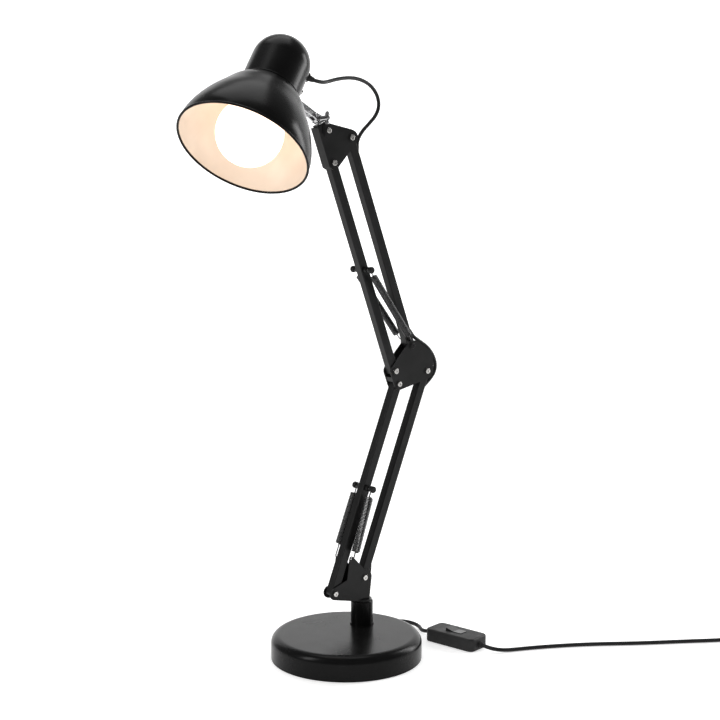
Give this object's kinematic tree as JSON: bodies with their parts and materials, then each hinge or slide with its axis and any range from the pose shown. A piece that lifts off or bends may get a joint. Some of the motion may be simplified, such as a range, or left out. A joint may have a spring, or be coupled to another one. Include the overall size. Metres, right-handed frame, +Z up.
{
  "type": "swing arm desk lamp",
  "caption": "Desk lamp with a weighted round base, two sprung parallelogram arms, a tilting bell shade, inline switch and mains lead.",
  "frame": {"origin": "centre of the base's underside", "axes": "+Z up; the head points along -X and the arms lie in a plane parallel to XZ"},
  "size_m": [0.7076, 0.4509, 0.7235],
  "materials": {
    "black_paint": "satin black powder coat",
    "white_enamel": "white inside of the shade",
    "cast_weight": "bare cast iron",
    "plate_steel": "zinc plated sheet",
    "chrome": "bright chrome plate",
    "bolt_steel": "bright nickel plate",
    "spring_steel": "black nickel wire",
    "felt": "black foam pad",
    "cable_black": "matte black cable sheath",
    "black_plastic": "fine texture",
    "black_nylon": "smooth",
    "bulb_glass": "opal white glass",
    "bulb_brass": "bright",
    "phenolic": "moulded"
  },
  "bodies": {
    "base": {"base_cover": "black_paint", "base_weight": "cast_weight", "base_plate": "plate_steel", "base_pad": "felt", "base_screws": "plate_steel", "collar": "black_paint", "collar_nut": "plate_steel", "lead_gland": "cable_black", "base_inner_cable": "cable_black", "lead_to_switch": "cable_black", "switch_bottom": "black_plastic", "switch_top": "black_plastic", "switch_screws": "bolt_steel", "lead_from_switch": "cable_black", "lead_coil": "cable_black", "plug_body": "black_plastic", "plug_pins": "bolt_steel"},
    "rocker": {"switch_rocker": "black_plastic"},
    "swivel": {"swivel_pin": "bolt_steel", "swivel_clip": "plate_steel", "swivel_washer": "black_nylon", "lower_bracket": "black_paint", "lower_pivot_bolts": "bolt_steel", "foot_run": "cable_black"},
    "lower_front": {"lower_front_bar": "black_paint", "lower_cross_pin": "black_paint", "lower_spring_near": "spring_steel", "lower_spring_far": "spring_steel"},
    "lower_rear": {"lower_rear_bar": "black_paint", "lower_inner_cable": "cable_black"},
    "elbow": {"elbow_bracket": "black_paint", "elbow_pivot_bolts": "bolt_steel", "elbow_loop_top": "cable_black", "elbow_loop_foot": "cable_black"},
    "upper_front": {"upper_front_bar": "black_paint", "upper_cross_pin": "black_paint", "upper_spring_near": "spring_steel", "upper_spring_far": "spring_steel"},
    "upper_rear": {"upper_rear_bar": "black_paint", "upper_inner_cable": "cable_black"},
    "head": {"head_bracket": "black_paint", "head_pivot_bolts": "bolt_steel", "head_block": "black_nylon", "block_screw": "bolt_steel", "head_loop_foot": "cable_black", "head_loop_middle": "cable_black"},
    "stem": {"head_stem": "chrome", "knuckle_bolt": "chrome"},
    "wing_nut": {"wing_nut": "chrome"},
    "shade": {"yoke": "chrome", "yoke_screws": "bolt_steel", "shade_bell": "black_paint", "shade_cap": "black_paint", "shade_ring": "phenolic", "lampholder": "phenolic", "bulb_globe": "bulb_glass", "bulb_cap": "bulb_brass", "cap_grommet": "cable_black", "head_loop_top": "cable_black"}
  },
  "joints": [
    {"name": "swivel_turn", "type": "hinge", "parent": "base", "child": "swivel", "pos_m": [0.0365, 0.0178, 0.04], "axis": [0, 0, 1], "range_deg": [-170, 170], "deforming": ["foot_run"]},
    {"name": "lower_arm_tilt", "type": "hinge", "parent": "swivel", "child": "lower_rear", "pos_m": [0.0358, 0.0178, 0.08765], "axis": [0, 1, 0], "range_deg": [-60, 28], "deforming": ["foot_run"]},
    {"name": "lower_link_tilt", "type": "hinge", "parent": "swivel", "child": "lower_front", "pos_m": [-0.0084, 0.0178, 0.075], "axis": [0, 1, 0], "range_deg": [-60, 28], "deforming": ["lower_spring_near", "lower_spring_far"]},
    {"name": "elbow_level", "type": "hinge", "parent": "lower_rear", "child": "elbow", "pos_m": [0.1323, 0.0178, 0.33275], "axis": [0, 1, 0], "range_deg": [-28, 60], "deforming": ["elbow_loop_foot"]},
    {"name": "upper_arm_tilt", "type": "hinge", "parent": "elbow", "child": "upper_rear", "pos_m": [0.1082, 0.0178, 0.3657], "axis": [0, 1, 0], "range_deg": [-65, 12], "deforming": ["elbow_loop_top"]},
    {"name": "upper_link_tilt", "type": "hinge", "parent": "elbow", "child": "upper_front", "pos_m": [0.0828, 0.0178, 0.3362], "axis": [0, 1, 0], "range_deg": [-65, 12], "deforming": ["upper_spring_near", "upper_spring_far"]},
    {"name": "head_level", "type": "hinge", "parent": "upper_rear", "child": "head", "pos_m": [0.0168, 0.0178, 0.6139], "axis": [0, 1, 0], "range_deg": [-12, 65], "deforming": ["head_loop_foot"]},
    {"name": "head_turn", "type": "hinge", "parent": "head", "child": "stem", "pos_m": [-0.02657, 0.0178, 0.6332], "axis": [-0.3456, 0, 0.9384], "range_deg": [-60, 60], "deforming": ["head_loop_middle"]},
    {"name": "shade_tilt", "type": "hinge", "parent": "stem", "child": "shade", "pos_m": [-0.02657, 0.0178, 0.6332], "axis": [-0.2791, 0.9548, -0.1028], "range_deg": [-30, 60], "deforming": ["head_loop_top"]},
    {"name": "wing_nut_turn", "type": "hinge", "parent": "stem", "child": "wing_nut", "pos_m": [-0.02657, 0.0178, 0.6332], "axis": [-0.2791, 0.9548, -0.1028], "range_deg": [0, 90]},
    {"name": "switch_rocker", "type": "hinge", "parent": "base", "child": "rocker", "pos_m": [0.13497, -0.04426, 0.0154], "axis": [0.9781, 0.2079, 0], "range_deg": [-14, 0]}
  ],
  "couplings": [
    {"joint": "lower_link_tilt", "follows": "lower_arm_tilt", "ratio": 1},
    {"joint": "elbow_level", "follows": "lower_arm_tilt", "ratio": -1},
    {"joint": "upper_link_tilt", "follows": "upper_arm_tilt", "ratio": 1},
    {"joint": "head_level", "follows": "upper_arm_tilt", "ratio": -1}
  ]
}
